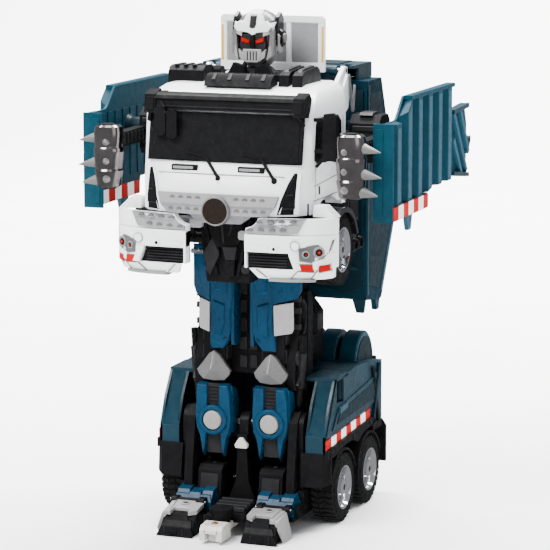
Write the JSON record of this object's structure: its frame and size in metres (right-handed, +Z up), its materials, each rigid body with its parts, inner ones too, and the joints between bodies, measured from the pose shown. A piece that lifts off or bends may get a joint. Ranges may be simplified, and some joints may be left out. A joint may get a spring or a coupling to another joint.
{
  "type": "transforming robot car",
  "caption": "Toy robot that folds into a truck: a cab chest, folding legs on a wheeled rear chassis, hinged arms with corrugated side panels, and a turning head.",
  "frame": {"origin": "centre of the object's footprint, on the floor", "axes": "+Z up; -Y is the robot's front (cab nose, toes); +X is the robot's left"},
  "size_m": [0.28, 0.3, 0.44],
  "materials": {
    "black_plastic": "moulded satin",
    "dark_gloss_plastic": "gloss",
    "teal_plastic": "moulded gloss",
    "blue_plastic": "metallic paint under gloss",
    "white_plastic": "moulded gloss",
    "pale_plastic": "moulded satin",
    "silver_plastic": "silver paint on plastic",
    "tinted_window": "smoked gloss",
    "badge_disc": "satin brown disc",
    "steel_rod": "bright drawn",
    "tyre": "moulded rubber",
    "chrome_rim": "vacuum-plated chrome on plastic",
    "battery_wrap": "shrink wrap",
    "circuit_board": "solder mask"
  },
  "bodies": {
    "base": {"chassis_frame": "black_plastic", "leg_hinge_pin": "steel_rod", "rear_shell": "teal_plastic", "shell_ribs": "teal_plastic", "wheel_arches": "black_plastic", "rear_axles": "steel_rod", "gearboxes": "black_plastic", "battery_pack": "battery_wrap", "battery_door": "black_plastic", "circuit_board": "circuit_board", "speaker": "black_plastic", "ankle_covers": "blue_plastic", "caster_mount": "pale_plastic"},
    "legs": {"leg_frames": "black_plastic", "thigh_covers": "blue_plastic", "knee_caps": "silver_plastic", "shin_covers": "blue_plastic", "leg_struts": "black_plastic"},
    "torso": {"torso_frame": "black_plastic", "waist_block": "black_plastic", "torso_pins": "steel_rod", "cab_shell": "white_plastic", "cab_windows": "tinted_window", "sun_visor": "black_plastic", "grille_panel": "silver_plastic", "badge": "badge_disc", "mirrors": "black_plastic", "side_tanks": "silver_plastic", "roof_armour": "black_plastic"},
    "truck_body": {"box_roof": "teal_plastic", "box_shell": "teal_plastic"},
    "roof_flap": {"roof_flap": "white_plastic"},
    "neck": {"neck": "black_plastic"},
    "head": {"head": "dark_gloss_plastic"},
    "caster_roller": {"caster_roller": "pale_plastic"},
    "power_switch": {"power_switch": "black_plastic"},
    "front_quarter_left": {"bumper_left": "white_plastic", "wheel_carrier_left": "black_plastic"},
    "front_wheel_left": {"tyre_front_left": "tyre", "rim_front_left": "chrome_rim"},
    "upper_arm_left": {"upper_arm_left": "black_plastic"},
    "forearm_left": {"gauntlet_left": "silver_plastic"},
    "side_panel_left": {"panel_left": "teal_plastic"},
    "foot_left": {"toe_left": "dark_gloss_plastic"},
    "rear_wheel_a_left": {"tyre_rear_a_left": "tyre", "rim_rear_a_left": "chrome_rim"},
    "rear_wheel_b_left": {"tyre_rear_b_left": "tyre", "rim_rear_b_left": "chrome_rim"},
    "front_quarter_right": {"bumper_right": "white_plastic", "wheel_carrier_right": "black_plastic"},
    "front_wheel_right": {"tyre_front_right": "tyre", "rim_front_right": "chrome_rim"},
    "upper_arm_right": {"upper_arm_right": "black_plastic"},
    "forearm_right": {"gauntlet_right": "silver_plastic"},
    "side_panel_right": {"panel_right": "teal_plastic"},
    "foot_right": {"toe_right": "dark_gloss_plastic"},
    "rear_wheel_a_right": {"tyre_rear_a_right": "tyre", "rim_rear_a_right": "chrome_rim"},
    "rear_wheel_b_right": {"tyre_rear_b_right": "tyre", "rim_rear_b_right": "chrome_rim"}
  },
  "joints": [
    {"name": "leg_swing", "type": "hinge", "parent": "base", "child": "legs", "pos_m": [0, -0.062, 0.087], "axis": [1, 0, 0], "range_deg": [0, 90]},
    {"name": "hip_level", "type": "hinge", "parent": "legs", "child": "torso", "pos_m": [0, -0.062, 0.3], "axis": [1, 0, 0], "range_deg": [-90, 0]},
    {"name": "box_swing", "type": "hinge", "parent": "torso", "child": "truck_body", "pos_m": [0, 0.01, 0.386], "axis": [1, 0, 0], "range_deg": [0, 90]},
    {"name": "neck_lift", "type": "slide", "parent": "torso", "child": "neck", "axis": [0, 0, -1], "range_m": [0, 0.048]},
    {"name": "head_turn", "type": "hinge", "parent": "neck", "child": "head", "pos_m": [0, -0.033, 0.4], "axis": [0, 0, 1], "range_deg": [-60, 60]},
    {"name": "roof_flap_tilt", "type": "hinge", "parent": "torso", "child": "roof_flap", "pos_m": [0, 0.0015, 0.381], "axis": [1, 0, 0], "range_deg": [0, 10]},
    {"name": "switch_slide", "type": "slide", "parent": "base", "child": "power_switch", "axis": [1, 0, 0], "range_m": [0, 0.005]},
    {"name": "caster_roll", "type": "hinge", "parent": "base", "child": "caster_roller", "pos_m": [0, -0.1395, 0.006], "axis": [1, 0, 0], "continuous": true},
    {"name": "front_close_left", "type": "slide", "parent": "torso", "child": "front_quarter_left", "axis": [-1, 0, 0], "range_m": [0, 0.025]},
    {"name": "front_wheel_spin_left", "type": "hinge", "parent": "front_quarter_left", "child": "front_wheel_left", "pos_m": [0.078, -0.07, 0.243], "axis": [1, 0, 0], "continuous": true},
    {"name": "shoulder_left", "type": "hinge", "parent": "torso", "child": "upper_arm_left", "pos_m": [0.09, -0.014, 0.333], "axis": [-1, 0, 0], "range_deg": [0, 40]},
    {"name": "elbow_left", "type": "hinge", "parent": "upper_arm_left", "child": "forearm_left", "pos_m": [0.108, -0.1, 0.33], "axis": [-1, 0, 0], "range_deg": [0, 60]},
    {"name": "panel_tilt_left", "type": "hinge", "parent": "upper_arm_left", "child": "side_panel_left", "pos_m": [0.12, -0.014, 0.333], "axis": [1, 0, 0], "range_deg": [0, 30]},
    {"name": "toe_fold_left", "type": "hinge", "parent": "base", "child": "foot_left", "pos_m": [0.039, -0.103, 0.023], "axis": [-1, 0, 0], "range_deg": [0, 85]},
    {"name": "rear_wheel_a_left_spin", "type": "hinge", "parent": "base", "child": "rear_wheel_a_left", "pos_m": [0.069, -0.037, 0.03], "axis": [1, 0, 0], "continuous": true},
    {"name": "rear_wheel_b_left_spin", "type": "hinge", "parent": "base", "child": "rear_wheel_b_left", "pos_m": [0.069, 0.033, 0.03], "axis": [1, 0, 0], "continuous": true},
    {"name": "front_close_right", "type": "slide", "parent": "torso", "child": "front_quarter_right", "axis": [1, 0, 0], "range_m": [0, 0.025]},
    {"name": "front_wheel_spin_right", "type": "hinge", "parent": "front_quarter_right", "child": "front_wheel_right", "pos_m": [-0.078, -0.07, 0.243], "axis": [1, 0, 0], "continuous": true},
    {"name": "shoulder_right", "type": "hinge", "parent": "torso", "child": "upper_arm_right", "pos_m": [-0.09, -0.014, 0.333], "axis": [-1, 0, 0], "range_deg": [0, 40]},
    {"name": "elbow_right", "type": "hinge", "parent": "upper_arm_right", "child": "forearm_right", "pos_m": [-0.108, -0.1, 0.33], "axis": [-1, 0, 0], "range_deg": [0, 60]},
    {"name": "panel_tilt_right", "type": "hinge", "parent": "upper_arm_right", "child": "side_panel_right", "pos_m": [-0.12, -0.014, 0.333], "axis": [1, 0, 0], "range_deg": [0, 30]},
    {"name": "toe_fold_right", "type": "hinge", "parent": "base", "child": "foot_right", "pos_m": [-0.039, -0.103, 0.023], "axis": [-1, 0, 0], "range_deg": [0, 85]},
    {"name": "rear_wheel_a_right_spin", "type": "hinge", "parent": "base", "child": "rear_wheel_a_right", "pos_m": [-0.069, -0.037, 0.03], "axis": [1, 0, 0], "continuous": true},
    {"name": "rear_wheel_b_right_spin", "type": "hinge", "parent": "base", "child": "rear_wheel_b_right", "pos_m": [-0.069, 0.033, 0.03], "axis": [1, 0, 0], "continuous": true}
  ],
  "couplings": [
    {"joint": "hip_level", "follows": "leg_swing", "ratio": -1},
    {"joint": "box_swing", "follows": "leg_swing", "ratio": 1},
    {"joint": "neck_lift", "follows": "leg_swing", "m_per_rad": 0.0305},
    {"joint": "front_close_left", "follows": "leg_swing", "m_per_rad": 0.0159},
    {"joint": "front_close_right", "follows": "leg_swing", "m_per_rad": 0.0159}
  ]
}
